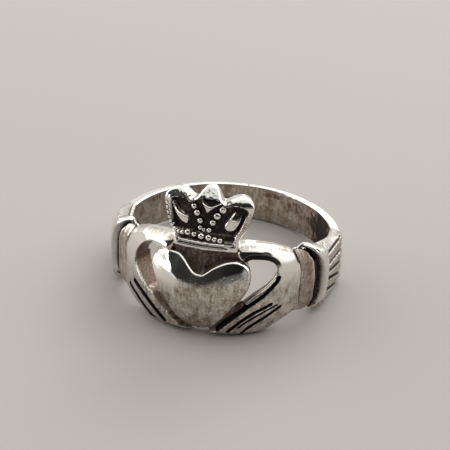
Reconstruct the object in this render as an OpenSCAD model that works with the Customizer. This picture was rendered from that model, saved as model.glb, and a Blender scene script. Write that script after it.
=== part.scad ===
// Claddagh ring, cast in one piece of silver: a plain band that widens into two cuffed hands,
// which hold a domed heart under a crown with three points.
// Millimetres. The ring lies on its side as it rests: the finger hole stands nearly upright,
// the heart faces -Y, the crown is up, and the lowest points touch Z = 0.
// Outlines of the front are tables of [degrees from the heart, height], and side profiles are
// tables of [distance from the axis, height]. Heights and distances there are shares of the
// finger hole's radius.

/* [Finger hole and band] */
// diameter of the finger hole
inner_diameter = 18; // [13:0.1:23]
// width of the plain band, along the finger
band_width = 3.4; // [2:0.1:6]
// thickness of the band at the back, where it is thinnest
back_thickness = 0.62; // [0.5:0.01:1.5]
// thickness of the band at the sides
side_thickness = 0.96; // [0.6:0.01:2]
// how far the faces above and below the band stand back from the finger hole's wall
inner_relief = 0.25; // [0.2:0.01:0.5]

/* [Front relief] */
// height of the heart's dome above the finger hole's wall
heart_height = 2.97; // [1.8:0.01:4]
// height of the hands above the finger hole's wall
hand_height = 2.7; // [1.4:0.01:3.6]
// height of the crown's front above the finger hole's wall, at its foot
crown_height = 1.665; // [1.2:0.005:2.6]
// depth of the lines between the fingers
finger_cut = 0.42; // [0.1:0.01:0.8]
// depth of the dark field inside the crown
crown_sink = 0.34; // [0.1:0.01:0.6]
// radius of one bead on the crown
bead_radius = 0.23; // [0.1:0.01:0.4]

/* [Cuffs and sleeves] */
// where the sleeve starts, in degrees from the heart
sleeve_from = 64; // [57:0.5:75]
// where the sleeve ends, in degrees from the heart
sleeve_to = 95.5; // [85:0.5:110]
// depth of the pleats cut in the sleeve
pleat_cut = 0.38; // [0.1:0.01:0.6]

/* [Hidden] */

u = inner_diameter / 2;
half_band = band_width / 2;
big = 4 * u;

// The band's outside is a circle set a little towards the heart, so the back is thinner.
back_r = u + back_thickness;
side_r = u + side_thickness;
shift = (side_r * side_r - back_r * back_r) / (2 * back_r);
outer_r = back_r + shift;
// the band runs this many degrees into each sleeve
band_overlap = 4;

// The front is bounded by two balls, a large one for the hands and a small one for the heart,
// and the hands also by an upright cylinder.
hand_ball = u;
heart_ball = 0.72 * u;
hand_back = u + hand_height - hand_ball;
heart_back = u + heart_height - heart_ball;
hand_ball_z = 0.05 * u;
heart_ball_z = 0.10 * u;
hand_round = 0.93 * u;
hand_round_back = 0.365 * u;

// The crown's front is round, and leans back towards the finger hole from its foot up.
crown_r = u + crown_height;
crown_foot = 0.55 * u;
crown_lean = 5;
leaf_sink = 0.06;

// Every outline is cut from this shell around the finger hole.
shell_in = 0.85 * u;
shell_out = u + max(heart_height, hand_height, crown_height) + 1;
// distances from the axis at which the outlines' degrees are true
hand_true = 1.25 * u;
heart_true = 1.27 * u;
crown_true = 1.13 * u;
field_true = 1.14 * u;
leaf_true = 1.15 * u;
yoke_true = 1.20 * u;

// heart: right half of the outline, from the notch to the tip
heart_half = [
    [0.0, 0.27], [2.0, 0.292], [4.0, 0.332], [6.5, 0.372], [9.6, 0.395], [12.8, 0.402],
    [15.8, 0.393], [18.6, 0.36], [20.8, 0.30], [21.6, 0.235], [21.2, 0.16], [19.6, 0.075],
    [17.0, -0.015], [14.0, -0.105], [10.8, -0.195], [7.4, -0.285], [3.8, -0.345], [0.0, -0.375]
];

// crown: right half of the outline, from the centre point down to the foot
crown_half = [
    [0.0, 1.045], [2.0, 1.04], [3.8, 1.01], [5.2, 0.96], [6.4, 0.92], [7.6, 0.912],
    [9.5, 0.93], [12.0, 0.955], [15.0, 0.968], [18.0, 0.96], [20.3, 0.93], [21.2, 0.88],
    [20.6, 0.81], [19.5, 0.73], [17.8, 0.66], [16.0, 0.61], [14.9, 0.57], [14.5, 0.52],
    [14.5, 0.44]
];

// crown: dark field between the rims, right half
field_half = [
    [0.0, 1.01], [2.5, 1.005], [4.0, 0.975], [5.4, 0.92], [7.4, 0.882], [9.5, 0.90],
    [12.0, 0.925], [15.0, 0.935], [17.5, 0.925], [18.8, 0.89], [18.6, 0.82], [17.4, 0.74],
    [15.8, 0.675], [14.0, 0.635], [0.0, 0.635]
];

// crown: leaf in the side field, right
leaf = [
    [7.3, 0.70], [8.2, 0.735], [9.8, 0.80], [12.2, 0.865], [14.2, 0.875], [15.2, 0.83],
    [14.4, 0.76], [13.0, 0.69], [11.0, 0.655], [9.0, 0.655], [7.8, 0.675]
];

// crown: small leaf in the middle, right half
middle_leaf = [[0.0, 0.82], [2.0, 0.875], [4.2, 0.965], [2.0, 0.95], [0.0, 0.92]];

// crown: the string's beads on the right side, from the middle up
string_beads = [[1.4, 0.655], [2.7, 0.72], [4.3, 0.785], [6.2, 0.84], [8.5, 0.888]];

// crown: a level row of beads at the foot, and two plain lines below it
foot_row = 0.59 * u;
foot_beads = 9;
foot_step = 3.15;
foot_lines = [0.49 * u, 0.53 * u];
foot_line_width = 0.022 * u;
foot_line_proud = 0.02 * u;
foot_line_reach = 14;

// hand and arm: right one, starting at the crown's foot
hand_outline = [
    [9.0, 0.47], [13.0, 0.505], [17.0, 0.518], [22.0, 0.513], [28.0, 0.498], [34.0, 0.472],
    [40.0, 0.432], [45.0, 0.38], [52.0, 0.30], [53.0, -0.19], [47.0, -0.225], [40.0, -0.275],
    [34.0, -0.345], [28.0, -0.395], [20.0, -0.40], [12.0, -0.395], [4.0, -0.365],
    [5.0, -0.30], [10.0, -0.20], [14.5, -0.10], [19.5, 0.03], [26.0, 0.18], [25.0, 0.34],
    [18.0, 0.375], [12.0, 0.38]
];
hand_middle = 28;
hand_end = 52;

// opening between heart, arm and hand, right one
opening = [
    [20.6, 0.395], [23.0, 0.40], [26.0, 0.395], [29.0, 0.38], [31.4, 0.35], [33.0, 0.30],
    [33.6, 0.23], [33.0, 0.165], [30.8, 0.105], [27.6, 0.05], [24.0, -0.005], [20.5, -0.06],
    [17.5, -0.115], [18.0, -0.04], [20.5, 0.05], [22.6, 0.15], [23.0, 0.235], [22.2, 0.31]
];
opening_middle = 26;

// lines between the fingers, right hand
finger_lines = [
    [[20.5, -0.06], [17.5, -0.12], [13.5, -0.20], [8.0, -0.33]],
    [[32.0, -0.025], [25.0, -0.105], [18.5, -0.215], [12.0, -0.37]],
    [[36.5, -0.095], [30.5, -0.175], [25.0, -0.26], [17.0, -0.42]]
];
finger_middle = 20;
// a line's width in degrees, and the degrees on the front that span as much as a height of 1
line_width = 1.35;
degrees_per_share = 46;

// field behind the heart's notch, under the crown
yoke_outline = [[-13, 0.20], [13, 0.20], [13.5, 0.55], [-13.5, 0.55]];
yoke_r = 1.155 * u;

// cuff and sleeve: side profiles
rib_profile = [
    [0.90, -0.30], [1.05, -0.30], [1.13, -0.25], [1.175, -0.15], [1.19, 0.02], [1.18, 0.16],
    [1.145, 0.27], [1.06, 0.345], [0.90, 0.345]
];
step_profile = [
    [0.90, -0.26], [1.06, -0.26], [1.12, -0.18], [1.13, 0.03], [1.12, 0.24], [1.06, 0.335],
    [0.90, 0.335]
];
wrist_profile = [
    [0.90, -0.24], [1.03, -0.24], [1.07, -0.16], [1.08, 0.05], [1.07, 0.24], [1.03, 0.31],
    [0.90, 0.31]
];
sleeve_profile = [
    [0.90, -0.335], [1.01, -0.335], [1.145, -0.21], [1.155, 0.0], [1.145, 0.21],
    [1.01, 0.335], [0.90, 0.335]
];

// cuff: degrees from the heart, the step next to the hand and the rib next to the sleeve
step_from = hand_end - 2.5;
step_to = hand_end + 2.5;
rib_from = sleeve_from - 4.5;
rib_to = sleeve_from + 1;
// each part of the cuff and sleeve runs this many degrees into its neighbour
overlap = 0.5;

// sleeve: its upper and lower faces come together by this many degrees towards the back
sleeve_middle = (sleeve_from + sleeve_to) / 2;
sleeve_taper = 8.5;
sleeve_half = 0.302 * u;
pleat_r = 1.15 * u;
pleats = 5;
pleat_first = 0.20 * u;
pleat_step = 0.105 * u;
pleat_width = 0.026 * u;
pleat_lean = 24;
pleat_middle = sleeve_middle + 2;

// Lying on its side, the ring touches the floor with the band's back edge and, on each side of
// the heart, with the inner lower edge of the fingers, which is this entry of the outline.
touch = hand_outline[13];
touch_y = -(u + inner_relief) * cos(touch[0]);
rest_tilt = atan2(-half_band - touch[1] * u, back_r - touch_y);
rest_height = half_band * cos(rest_tilt) + back_r * sin(rest_tilt);
front_most = -heart_back * cos(rest_tilt) + heart_ball_z * sin(rest_tilt) - heart_ball;
rear_most = back_r * cos(rest_tilt) + half_band * sin(rest_tilt);
rest_shift = -(front_most + rear_most) / 2;

function mirrored(half) = concat(half, [for (i = [len(half) - 1 : -1 : 0])
    if (half[i][0] > 0) [-half[i][0], half[i][1]]]);
function crown_front_at(z) = crown_r - (z - crown_foot) * tan(crown_lean);
function flat(points, middle, true_r) = [for (p = points)
    [true_r * sin(p[0] - middle), p[1] * u]];
function beside(points, i, step) = let (
    a = points[max(i - 1, 0)], b = points[min(i + 1, len(points) - 1)],
    d = [b[0] - a[0], b[1] - a[1]], l = norm(d))
    [points[i][0] - step * d[1] / l, points[i][1] + step * d[0] / l];
function strip(points, width) = concat(
    [for (i = [0 : len(points) - 1]) beside(points, i, width / 2)],
    [for (i = [len(points) - 1 : -1 : 0]) beside(points, i, -width / 2)]);
// a finger line as a narrow closed outline
function line_outline(line) = let (
    k = degrees_per_share,
    s = strip([for (p = line) [p[0], p[1] * k]], line_width))
    [for (p = s) [p[0], p[1] / k]];

// A flat outline pushed out along the radius at the angle "middle".
module prism(points, middle, true_r, spare = 0) {
    rotate([0, 0, middle])
    rotate([90, 0, 0])
    translate([0, 0, shell_in - spare])
    linear_extrude(shell_out - shell_in + 2 * spare)
    polygon(flat(points, middle, true_r));
}

module hand_bound(less) {
    intersection() {
        translate([0, -hand_back, hand_ball_z])
        sphere(r = hand_ball - less, $fn = 96);
        translate([0, -hand_round_back, 0])
        cylinder(r = hand_round - less, h = big, center = true, $fn = 96);
    }
}

module heart_bound() {
    translate([0, -heart_back, heart_ball_z])
    sphere(r = heart_ball, $fn = 96);
}

// A ring sector with its own side profile.
module sector(profile, from, to) {
    rotate([0, 0, from - 90])
    rotate_extrude(angle = to - from, $fn = 128)
    polygon(u * profile);
}

module band() {
    open = sleeve_from + band_overlap;
    difference() {
        translate([0, -shift, -half_band])
        cylinder(r = outer_r, h = band_width, $fn = 160);
        linear_extrude(2 * big, center = true)
        polygon(big * [[0, 0], [sin(open), -cos(open)], [0, -1], [-sin(open), -cos(open)]]);
    }
}

module sleeve() {
    difference() {
        sector(sleeve_profile, sleeve_from - overlap, sleeve_to);
        for (up = [1, -1])
        rotate([0, 0, sleeve_middle])
        translate([0, -u, up * sleeve_half])
        rotate([0, up * sleeve_taper, 0])
        translate([-u, -u, up > 0 ? 0 : -u])
        cube([2 * u, 2 * u, u]);
        for (i = [0 : pleats - 1])
        rotate([0, 0, pleat_middle])
        translate([0, -pleat_r, pleat_first - pleat_step * i])
        rotate([0, -pleat_lean, 0])
        cube([big / 2, 2 * pleat_cut, pleat_width], center = true);
    }
}

module cuff() {
    sector(wrist_profile, step_from + overlap, rib_from + 3 * overlap);
    sector(step_profile, step_from, step_to);
    sector(rib_profile, rib_from, rib_to);
}

module hand() {
    difference() {
        intersection() {
            prism(hand_outline, hand_middle, hand_true);
            hand_bound(0);
        }
        prism(opening, opening_middle, hand_true, 0.05 * u);
        for (line = finger_lines)
        difference() {
            prism(line_outline(line), finger_middle, heart_true);
            hand_bound(finger_cut);
        }
    }
}

module heart() {
    intersection() {
        prism(mirrored(heart_half), 0, heart_true);
        heart_bound();
    }
}

module yoke() {
    intersection() {
        prism(yoke_outline, 0, yoke_true);
        cylinder(r = yoke_r, h = big, $fn = 128);
    }
}

module crown_front(less) {
    translate([0, 0, crown_foot])
    rotate([-crown_lean, 0, 0])
    cylinder(r = crown_r - less, h = big, center = true, $fn = 128);
}

module bead(angle, reach, z) {
    translate([reach * sin(angle), -reach * cos(angle), z])
    sphere(r = bead_radius, $fn = 24);
}

// The string's beads stand in the dark field, and the row's beads on the crown's foot.
module beads() {
    for (b = string_beads, s = [1, -1])
    bead(s * b[0], crown_front_at(b[1] * u) - crown_sink + bead_radius / 2, b[1] * u);
    for (i = [0 : foot_beads - 1])
    bead((i - (foot_beads - 1) / 2) * foot_step, crown_front_at(foot_row), foot_row);
}

module crown() {
    difference() {
        intersection() {
            prism(mirrored(crown_half), 0, crown_true);
            crown_front(0);
        }
        difference() {
            prism(mirrored(field_half), 0, field_true);
            crown_front(crown_sink);
        }
    }
    intersection() {
        union() {
            prism(leaf, 0, leaf_true);
            prism([for (p = leaf) [-p[0], p[1]]], 0, leaf_true);
            prism(mirrored(middle_leaf), 0, leaf_true);
        }
        crown_front(leaf_sink);
    }
    beads();
    for (z = foot_lines)
    rotate([0, 0, -90 - foot_line_reach])
    rotate_extrude(angle = 2 * foot_line_reach, $fn = 128)
    translate([crown_front_at(z) - foot_line_proud, z])
    square([4 * foot_line_proud, foot_line_width], center = true);
}

module ring_in_own_axes() {
    difference() {
        union() {
            band();
            heart();
            yoke();
            crown();
            for (s = [0, 1])
            mirror([s, 0, 0]) {
                sleeve();
                cuff();
                hand();
            }
        }
        cylinder(r = u, h = big, center = true, $fn = 160);
        for (s = [0, 1])
        mirror([0, 0, s])
        translate([0, 0, half_band])
        cylinder(r = u + inner_relief, h = big, $fn = 160);
    }
}

// one solid: band, sleeves, cuffs, hands, heart and crown
module ring() {
    color([0.72, 0.70, 0.67])
    translate([0, rest_shift, rest_height])
    rotate([-rest_tilt, 0, 0])
    ring_in_own_axes();
}

ring();
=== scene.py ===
"""Worn silver claddagh ring, lying on its side.

The ring's own axes are used for every shape: the finger hole runs along z, the heart faces -y, and
a place on the ring is (angle from the heart in degrees, height, distance from the axis). Heights
and distances are shares of the finger hole's radius, HOLE, and so is each size that names no unit.
resting() turns such a place into the row frame, in metres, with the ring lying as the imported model
does.
"""
import math
import bpy
import numpy as np
from mathutils import Matrix, Vector


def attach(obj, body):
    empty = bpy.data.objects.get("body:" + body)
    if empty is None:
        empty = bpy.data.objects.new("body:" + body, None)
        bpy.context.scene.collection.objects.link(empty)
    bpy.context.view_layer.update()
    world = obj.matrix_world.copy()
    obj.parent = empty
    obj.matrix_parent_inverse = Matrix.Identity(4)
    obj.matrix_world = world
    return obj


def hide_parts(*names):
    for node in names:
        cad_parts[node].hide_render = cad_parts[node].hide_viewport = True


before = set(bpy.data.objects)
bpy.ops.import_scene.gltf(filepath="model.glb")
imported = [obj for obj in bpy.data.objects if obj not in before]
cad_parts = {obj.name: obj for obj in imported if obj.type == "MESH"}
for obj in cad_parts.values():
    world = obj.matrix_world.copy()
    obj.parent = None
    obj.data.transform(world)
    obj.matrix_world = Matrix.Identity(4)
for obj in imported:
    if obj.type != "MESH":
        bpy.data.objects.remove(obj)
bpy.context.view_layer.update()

MM_IN_M = 1000
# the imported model's sizes, in mm
HOLE = 9.0
HALF_BAND = 1.7
BACK_THICK = 0.62
SIDE_THICK = 0.96
RELIEF = 0.25
# and in shares of HOLE, with the lean as a slope, and the fingers' lowest place
HEART_REACH = 1.33
HAND_REACH = 1.30
HEART_BALL = 0.72
HEART_BALL_Z = 0.10
CROWN_REACH = 1.185
CROWN_FOOT = 0.55
CROWN_LEAN = math.tan(math.radians(5))
LOW_FINGER = (28.0, -0.395)

# how far the ring tilts and moves to lie on the band's back edge and the fingers, in mm
BACK_R = HOLE + BACK_THICK
SIDE_R = HOLE + SIDE_THICK
BAND_SHIFT = (SIDE_R ** 2 - BACK_R ** 2) / (2 * BACK_R)
TOUCH_Y = -(HOLE + RELIEF) * math.cos(math.radians(LOW_FINGER[0]))
REST_TILT = math.atan2(-HALF_BAND - LOW_FINGER[1] * HOLE, BACK_R - TOUCH_Y)
REST_Z = HALF_BAND * math.cos(REST_TILT) + BACK_R * math.sin(REST_TILT)
HEART_BACK = HEART_REACH * HOLE - HEART_BALL * HOLE
FRONT_MOST = (-HEART_BACK * math.cos(REST_TILT) + HEART_BALL_Z * HOLE * math.sin(REST_TILT)
              - HEART_BALL * HOLE)
REAR_MOST = BACK_R * math.cos(REST_TILT) + HALF_BAND * math.sin(REST_TILT)
REST_Y = -(FRONT_MOST + REAR_MOST) / 2

# degrees round the ring that are as long as a height of 1, so that a grain is round
IN_DEG = 57
# grid spacing of the relief: about 0.045 mm on most pieces
FINE = 0.005
COARSE = 0.007
# an edge that turns by more than this many degrees is sharp
SHARP = 50
# what the material reads at each point: black sulphide, brown film and brown stain, which in
# some places also carry painted shade, and dull wear
MARKS = ("oxide", "film", "stain", "haze")
# marks on the hidden backs, which look like the band's inside
BACK_MARKS = {"oxide": 0.0, "film": 0.8, "stain": 0.25, "haze": 0.8}


def resting(x, y, z):
    """Ring axes in mm to the row frame in metres: turned by REST_TILT about x, then lifted."""
    c, s = math.cos(REST_TILT), math.sin(REST_TILT)
    return np.stack([x, y * c + z * s + REST_Y, -y * s + z * c + REST_Z], -1) / MM_IN_M


def rise(x, low, high):
    """0 below low, 1 above high, and 3t^2 - 2t^3 of the share t between them."""
    t = np.clip((x - low) / (high - low), 0, 1)
    return t * t * (3 - 2 * t)


def fade(x, low, high):
    """1 below low and 0 above high, as smoothly as rise."""
    return 1 - rise(x, low, high)


def soft_min(a, b, width):
    """The smaller of two surfaces, with the corner between them rounded over width."""
    h = np.clip(0.5 + 0.5 * (b - a) / width, 0, 1)
    return b + (a - b) * h - width * h * (1 - h)


def curve_through(points, closed):
    """Catmull-Rom curve through the points, in count steps a side: each side is the cubic whose
    ends run parallel to the line between the points before and after. A point that is given twice
    is a corner."""
    count = 6
    p = np.array(points, float)
    if closed:
        q = np.concatenate([p[-1:], p, p[:2]])
    else:
        q = np.concatenate([2 * p[:1] - p[1:2], p, 2 * p[-1:] - p[-2:-1]])
    a, b, c, d = (q[i:len(q) - 3 + i, None] for i in range(4))
    t = (np.arange(count) / count)[None, :, None]
    out = 0.5 * (2 * b + (c - a) * t + (2 * a - 5 * b + 4 * c - d) * t ** 2
                 + (3 * b - a - 3 * c + d) * t ** 3)
    doubled = np.abs(c - b).sum(2, keepdims=True) < 1e-9
    out = np.where(doubled, b, out).reshape(-1, 2)
    return out if closed else np.concatenate([out, p[-1:]])


def line_distance(points, a, z, reach, closed=False):
    """Distance from each (angle, height) to the nearest place on the line through the points,
    measured on the drum of radius reach. For a closed line it is positive inside and negative
    outside: a place is inside if a line from it crosses the outline an odd number of times."""
    k = math.radians(1) * reach
    line = np.stack([points[:, 0] * k, points[:, 1]], -1)
    if closed:
        line = np.concatenate([line, line[:1]])
    start, run = line[:-1], line[1:] - line[:-1]
    real = (run ** 2).sum(1) > 1e-12
    start, run = start[real], run[real]
    length = (run ** 2).sum(1)
    # this many at a time, to spare memory
    batch = 20000
    out = np.empty(len(a))
    for i in range(0, len(a), batch):
        p = np.stack([a[i:i + batch] * k, z[i:i + batch]], -1)[:, None]
        d = p - start
        t = np.clip((d * run).sum(2) / length, 0, 1)
        off = d - t[..., None] * run
        near = np.sqrt((off ** 2).sum(2))
        best = near.min(1)
        if closed:
            up = (start[:, 1] <= p[..., 1]) != (start[:, 1] + run[:, 1] <= p[..., 1])
            slope = np.where(run[:, 1] == 0, 1, run[:, 1])
            cross = start[:, 0] + (p[..., 1] - start[:, 1]) / slope * run[:, 0]
            odd = (up & (p[..., 0] < cross)).sum(1) % 2
            best = np.where(odd == 1, best, -best)
        out[i:i + batch] = best
    return out


def grain(x, y, size, seed):
    """Smooth noise from -1 to 1: random values on a square lattice of that size, blended by
    smooth steps between the four nearest."""
    cells = 256
    table = np.random.RandomState(seed).uniform(-1, 1, (cells, cells))
    gx, gy = x / size, y / size
    ix, iy = np.floor(gx).astype(int), np.floor(gy).astype(int)
    fx, fy = gx - ix, gy - iy
    fx, fy = fx * fx * (3 - 2 * fx), fy * fy * (3 - 2 * fy)
    n = [[table[(ix + i) % cells, (iy + j) % cells] for j in (0, 1)] for i in (0, 1)]
    return ((n[0][0] * (1 - fx) + n[1][0] * fx) * (1 - fy)
            + (n[0][1] * (1 - fx) + n[1][1] * fx) * fy)


def rounded(distance, radius):
    """How far a surface has dropped at a distance from its edge, for an edge rounded like a
    quarter circle of that radius."""
    t = np.clip(distance / radius, 0, 1)
    return radius * (1 - np.sqrt(np.clip(1 - (1 - t) ** 2, 0, 1)))


def put(name, data):
    """An object of that name in the scene, at the origin."""
    ob = bpy.data.objects.new(name, data)
    bpy.context.scene.collection.objects.link(ob)
    return ob


def new_piece(name, xyz, faces, marks):
    """A mesh object at the origin from rows of places and of corner indices, with its marks as
    point attributes, riding on the root body and standing for the ring's node. No point goes
    under the floor, and edges that turn by more than SHARP degrees are shaded sharp."""
    xyz[:, 2] = np.maximum(xyz[:, 2], 0)
    mesh = bpy.data.meshes.new(name)
    mesh.from_pydata(xyz.tolist(), [], faces)
    mesh.polygons.foreach_set("use_smooth", np.ones(len(mesh.polygons), bool))
    for key, value in marks.items():
        layer = mesh.attributes.new(key, "FLOAT", "POINT")
        layer.data.foreach_set("value", np.asarray(value, np.float32))
    mesh.update()
    mesh.set_sharp_from_angle(angle=math.radians(SHARP))
    piece = put(name, mesh)
    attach(piece, "root")
    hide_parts("ring")
    return piece


def hole_wall(a, z):
    """Radius of the finger hole: 1 inside the band's width, and a little more above and below."""
    half = HALF_BAND / HOLE
    return 1 + RELIEF / HOLE * rise(np.abs(z), half, half + 0.012)


# in relief: the share of a grid step within which points are moved on to the cut, the least slope
# that is reckoned with there, the least thickness, and the lip at a wall's front and back
SNAP, FLATTEST, THINNEST, LIP_WIDE = 0.35, 0.2, 0.004, 0.010


def relief(name, angles, heights, reach, step, inside, shape, back=hole_wall, under=None):
    """A closed shell over a grid of (angle, height), cut along inside(a, z) = 0. Its front is at
    the radius that shape(a, z) gives, its back at back(a, z), and a wall joins them. shape also
    gives the front's marks and the wall's. Grid points close to the cut are moved on to it, down
    the slope of inside, and the triangles that it crosses are cut where inside, taken as straight
    along their sides, is 0. under(a, z) gives how far the back's points are moved, so that a wall
    leans."""
    k = math.radians(1) * reach
    na = int((angles[1] - angles[0]) * k / step) + 2
    nz = int((heights[1] - heights[0]) / step) + 2
    s, z = np.meshgrid(np.linspace(angles[0] * k, angles[1] * k, na),
                       np.linspace(*heights, nz), indexing="ij")
    f = inside((s / k).ravel(), z.ravel()).reshape(s.shape)
    gs, gz = np.gradient(f, s[1, 0] - s[0, 0], z[0, 1] - z[0, 0])
    slope = np.clip(gs ** 2 + gz ** 2, FLATTEST, None)
    near = np.abs(f) < SNAP * step
    s, z = np.where(near, s - f * gs / slope, s), np.where(near, z - f * gz / slope, z)
    f = np.where(near, 0, f).ravel()
    s, z = s.ravel(), z.ravel()
    i = (np.arange(na - 1)[:, None] * nz + np.arange(nz - 1)).ravel()
    even = ((i // nz + i % nz) % 2 == 0)
    i, j = i[even], i[~even]
    tri = np.concatenate([
        np.stack([i, i + nz, i + nz + 1], 1), np.stack([i, i + nz + 1, i + 1], 1),
        np.stack([j, j + nz, j + 1], 1), np.stack([j + 1, j + nz, j + nz + 1], 1)])
    # triangles with three, one or two corners inside, the last two turned so that the odd corner
    # comes first
    count = np.where(f[tri].max(1) > 0, (f[tri] >= 0).sum(1), 0)
    whole, one, two = tri[count == 3], tri[count == 1], tri[count == 2]
    first = np.argmax(f[one] >= 0, 1)
    one = np.stack([np.take_along_axis(one, ((first + n) % 3)[:, None], 1)[:, 0]
                    for n in range(3)], 1)
    first = np.argmax(f[two] < 0, 1)
    two = np.stack([np.take_along_axis(two, ((first + n) % 3)[:, None], 1)[:, 0]
                    for n in range(3)], 1)
    cuts = np.concatenate([one[:, [0, 1]], one[:, [0, 2]], two[:, [1, 0]], two[:, [2, 0]]])
    pairs, where = np.unique(cuts[:, 0] * len(f) + cuts[:, 1], return_inverse=True)
    p, q = pairs // len(f), pairs % len(f)
    t = f[p] / (f[p] - f[q])
    new = np.where(f[p] == 0, p, len(f) + np.arange(len(pairs)))[where]
    s = np.concatenate([s, s[p] + t * (s[q] - s[p])])
    z = np.concatenate([z, z[p] + t * (z[q] - z[p])])
    n1, n2 = len(one), len(two)
    c1, c2, c3, c4 = new[:n1], new[n1:2 * n1], new[2 * n1:2 * n1 + n2], new[2 * n1 + n2:]
    tri = np.concatenate([whole, np.stack([one[:, 0], c1, c2], 1),
                          np.stack([c3, two[:, 1], two[:, 2]], 1),
                          np.stack([c3, two[:, 2], c4], 1)])
    tri = tri[(tri[:, 0] != tri[:, 1]) & (tri[:, 1] != tri[:, 2]) & (tri[:, 0] != tri[:, 2])]
    used, tri = np.unique(tri, return_inverse=True)
    tri = tri.reshape(-1, 3)
    a, z = s[used] / k, z[used]
    n = len(used)
    front, marks, wall_marks = shape(a, z)
    inner = back(a, z)
    front = np.maximum(front, inner + THINNEST)
    edge = np.concatenate([tri[:, [0, 1]], tri[:, [1, 2]], tri[:, [2, 0]]])
    key, other = edge[:, 0] * n + edge[:, 1], edge[:, 1] * n + edge[:, 0]
    rim = edge[~np.isin(key, other)]
    # two more rows, LIP_WIDE behind the front's rim and before the back's, so that the wall
    # between them has marks of its own
    corner, lip = np.unique(rim, return_inverse=True)
    lip = lip.reshape(-1, 2) + 2 * n
    foot = lip + len(corner)
    deep = front[corner] - inner[corner]
    margin = np.minimum(LIP_WIDE, deep / 3)
    wall = np.concatenate([
        np.stack([rim[:, 1], rim[:, 0], lip[:, 0], lip[:, 1]], 1),
        np.stack([lip[:, 1], lip[:, 0], foot[:, 0], foot[:, 1]], 1),
        np.stack([foot[:, 1], foot[:, 0], rim[:, 0] + n, rim[:, 1] + n], 1)])
    radius = np.concatenate([front, inner, front[corner] - margin, inner[corner] + margin]) * HOLE
    move_a, move_z = under(a, z) if under else (0 * a, 0 * z)
    a = np.radians(np.concatenate([a, a + move_a, a[corner], (a + move_a)[corner]]))
    z = np.concatenate([z, z + move_z, z[corner], (z + move_z)[corner]]) * HOLE
    xyz = resting(radius * np.sin(a), -radius * np.cos(a), z)
    faces = tri.tolist() + (tri[:, ::-1] + n).tolist() + wall.tolist()
    none = np.zeros(n)
    marks = {key: np.concatenate([marks.get(key, none), none + BACK_MARKS[key],
                                  wall_marks.get(key, none)[corner],
                                  wall_marks.get(key, none)[corner]]) for key in MARKS}
    return new_piece(name, xyz, faces, marks)


# Heart: its outline, from the notch round the right side, the tip and the left side. A name that
# ends in DRUM is the radius on which distances to outlines are measured.
HEART_DRUM = 1.27
ROLL_WIDE = 0.30
HEART = curve_through([
    [-0.6, 0.256], [1.2, 0.262], [4.0, 0.309], [6.5, 0.346], [9.6, 0.374],
    [12.8, 0.384], [15.8, 0.378], [18.4, 0.358], [20.3, 0.322], [21.2, 0.27], [21.3, 0.21],
    [20.3, 0.13], [18.0, 0.043], [14.9, -0.05], [11.6, -0.158], [8.0, -0.275], [3.8, -0.345],
    [0.0, -0.372], [-3.8, -0.35], [-8.0, -0.315], [-11.6, -0.251], [-13.9, -0.167],
    [-16.0, -0.066], [-18.6, 0.009], [-20.5, 0.075], [-22.8, 0.134], [-24.5, 0.19],
    [-24.7, 0.25], [-23.5, 0.312], [-20.8, 0.362], [-17.4, 0.388], [-13.8, 0.396],
    [-10.4, 0.389], [-7.6, 0.353], [-5.2, 0.303], [-3.0, 0.267]], True)

# Opening between heart, arm and hand, right and left. The heart covers its inner side.
OPENING_RIGHT = curve_through([
    [19.3, 0.390], [23.8, 0.396], [28.1, 0.380], [31.4, 0.346], [33.3, 0.300], [33.6, 0.255],
    [32.8, 0.210], [29.9, 0.151], [26.9, 0.106], [22.5, 0.050], [17.6, -0.034],
    [14.8, -0.075], [14.0, -0.02], [16.0, 0.15], [16.5, 0.30]], True)
OPENING_LEFT = curve_through([
    [-23.2, 0.398], [-25.8, 0.409], [-30.2, 0.366], [-33.5, 0.282], [-35.2, 0.196],
    [-34.6, 0.135], [-31.4, 0.062], [-27.2, -0.005], [-24.6, -0.040], [-21.5, -0.045],
    [-17.0, -0.02], [-19.5, 0.15], [-22.2, 0.30]], True)

# Sunk channel between heart and first finger, brown with tarnish.
CHANNEL_RIGHT = curve_through([
    [20.5, -0.035], [17.6, -0.078], [14.6, -0.150], [11.4, -0.240], [8.2, -0.328],
    [6.0, -0.37], [0.0, -0.36], [0.0, 0.0], [14.0, 0.0]], True)
CHANNEL_LEFT = curve_through([
    [-25.5, -0.02], [-21.9, -0.080], [-17.2, -0.186], [-14.0, -0.239], [-10.5, -0.301],
    [-8.0, -0.35], [0.0, -0.36], [0.0, 0.0], [-14.0, 0.0]], True)

# Hand and arm: right outline, from the crown's foot. The left hand mirrors it.
HAND = curve_through([
    [14.6, 0.43], [14.4, 0.47], [14.8, 0.505], [17.0, 0.518], [22.0, 0.516], [28.0, 0.500],
    [34.0, 0.474], [40.0, 0.432], [44.6, 0.388], [46.4, 0.315], [47.8, 0.22], [48.7, 0.12],
    [48.9, 0.0], [49.0, -0.12], [49.0, -0.215], [47.0, -0.232], [40.0, -0.275],
    [34.0, -0.345], [28.0, -0.395], [20.0, -0.404], [12.0, -0.40], [4.0, -0.375],
    [2.0, -0.30], [8.0, -0.12], [12.0, 0.05], [14.0, 0.20], [15.5, 0.30], [15.5, 0.38]], True)

HAND_DRUM, LINE_DRUM = 1.25, 1.27
LINE_DEEP, CHANNEL_DEEP, GAP_DEEP = 0.06, 0.06, 0.05

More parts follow.
